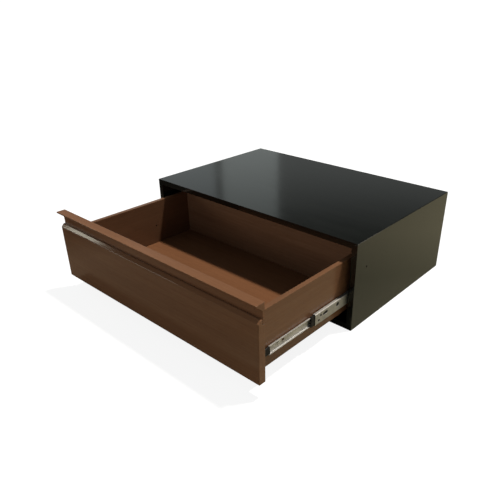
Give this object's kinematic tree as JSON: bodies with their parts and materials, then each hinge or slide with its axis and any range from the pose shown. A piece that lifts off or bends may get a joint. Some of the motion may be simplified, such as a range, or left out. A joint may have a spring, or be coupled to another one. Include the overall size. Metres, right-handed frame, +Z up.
{
  "type": "under desk drawer",
  "caption": "Low wide drawer in a black mitred case, with a wedge lip handle rail over a finger groove, on full-extension ball-bearing slides.",
  "frame": {"origin": "middle of the case's underside", "axes": "+X to the right seen from the front, -Y the way the drawer opens, +Z up"},
  "size_m": [0.7, 0.7796, 0.23],
  "materials": {
    "black_board": "semi-gloss black paint",
    "walnut_board": "satin dark walnut laminate",
    "back_board": "matt dark board",
    "beech": "raw wood",
    "zinc_steel": "zinc-plated rolled steel",
    "screw_steel": "zinc-plated screw",
    "black_plastic": "moulded",
    "rubber": "matt"
  },
  "bodies": {
    "case": {"case_top": "black_board", "case_bottom": "black_board", "case_left_side": "black_board", "case_right_side": "black_board", "case_back": "back_board", "mitre_spline_top_right": "beech", "mitre_spline_top_left": "beech", "mitre_spline_bottom_right": "beech", "mitre_spline_bottom_left": "beech", "case_back_screw_top_1": "screw_steel", "case_back_screw_top_2": "screw_steel", "case_back_screw_top_3": "screw_steel", "case_back_screw_bottom_1": "screw_steel", "case_back_screw_bottom_2": "screw_steel", "case_back_screw_bottom_3": "screw_steel", "cabinet_member_right": "zinc_steel", "cabinet_member_left": "zinc_steel", "cabinet_screw_right_1": "screw_steel", "cabinet_screw_right_2": "screw_steel", "cabinet_screw_left_1": "screw_steel", "cabinet_screw_left_2": "screw_steel", "rear_bumper_right": "rubber", "rear_bumper_left": "rubber"},
    "drawer": {"drawer_front": "walnut_board", "handle_rail": "walnut_board", "drawer_left_side": "walnut_board", "drawer_right_side": "walnut_board", "drawer_back": "walnut_board", "drawer_bottom": "walnut_board", "front_dowel_right_lower": "beech", "front_dowel_right_upper": "beech", "front_dowel_left_lower": "beech", "front_dowel_left_upper": "beech", "rail_screw_1": "screw_steel", "rail_screw_2": "screw_steel", "rail_screw_3": "screw_steel", "drawer_back_screw_right_lower": "screw_steel", "drawer_back_screw_right_upper": "screw_steel", "drawer_back_screw_left_lower": "screw_steel", "drawer_back_screw_left_upper": "screw_steel", "drawer_member_right": "zinc_steel", "drawer_member_left": "zinc_steel", "drawer_member_screw_right_1": "screw_steel", "drawer_member_screw_right_2": "screw_steel", "drawer_member_screw_left_1": "screw_steel", "drawer_member_screw_left_2": "screw_steel", "front_bumper_right": "black_plastic", "front_bumper_left": "black_plastic"},
    "intermediate_right": {"intermediate_member_right": "zinc_steel", "end_stop_right": "black_plastic"},
    "outer_balls_right": {"outer_ball_cage_right": "zinc_steel"},
    "inner_balls_right": {"inner_ball_cage_right": "zinc_steel"},
    "lever_right": {"release_lever_right": "black_plastic"},
    "intermediate_left": {"intermediate_member_left": "zinc_steel", "end_stop_left": "black_plastic"},
    "outer_balls_left": {"outer_ball_cage_left": "zinc_steel"},
    "inner_balls_left": {"inner_ball_cage_left": "zinc_steel"},
    "lever_left": {"release_lever_left": "black_plastic"}
  },
  "joints": [
    {"name": "drawer_slide", "type": "slide", "parent": "case", "child": "drawer", "axis": [0, -1, 0], "range_m": [-0.305, 0.095]},
    {"name": "intermediate_slide_right", "type": "slide", "parent": "case", "child": "intermediate_right", "axis": [0, -1, 0], "range_m": [-0.1526, 0.0476]},
    {"name": "outer_ball_slide_right", "type": "slide", "parent": "case", "child": "outer_balls_right", "axis": [0, -1, 0], "range_m": [-0.07635, 0.02385]},
    {"name": "inner_ball_slide_right", "type": "slide", "parent": "case", "child": "inner_balls_right", "axis": [0, -1, 0], "range_m": [-0.22885, 0.07135]},
    {"name": "release_lever_hinge_right", "type": "hinge", "parent": "drawer", "child": "lever_right", "pos_m": [0.32625, -0.298, 0.0825], "axis": [1, 0, 0], "range_deg": [-5, 5], "stiffness_Nm_per_rad": 0.05},
    {"name": "intermediate_slide_left", "type": "slide", "parent": "case", "child": "intermediate_left", "axis": [0, -1, 0], "range_m": [-0.1526, 0.0476]},
    {"name": "outer_ball_slide_left", "type": "slide", "parent": "case", "child": "outer_balls_left", "axis": [0, -1, 0], "range_m": [-0.07635, 0.02385]},
    {"name": "inner_ball_slide_left", "type": "slide", "parent": "case", "child": "inner_balls_left", "axis": [0, -1, 0], "range_m": [-0.22885, 0.07135]},
    {"name": "release_lever_hinge_left", "type": "hinge", "parent": "drawer", "child": "lever_left", "pos_m": [-0.32625, -0.298, 0.0825], "axis": [1, 0, 0], "range_deg": [-5, 5], "stiffness_Nm_per_rad": 0.05}
  ],
  "couplings": [
    {"joint": "intermediate_slide_right", "follows": "drawer_slide", "ratio": 0.5},
    {"joint": "outer_ball_slide_right", "follows": "drawer_slide", "ratio": 0.25},
    {"joint": "inner_ball_slide_right", "follows": "drawer_slide", "ratio": 0.75},
    {"joint": "intermediate_slide_left", "follows": "drawer_slide", "ratio": 0.5},
    {"joint": "outer_ball_slide_left", "follows": "drawer_slide", "ratio": 0.25},
    {"joint": "inner_ball_slide_left", "follows": "drawer_slide", "ratio": 0.75}
  ]
}
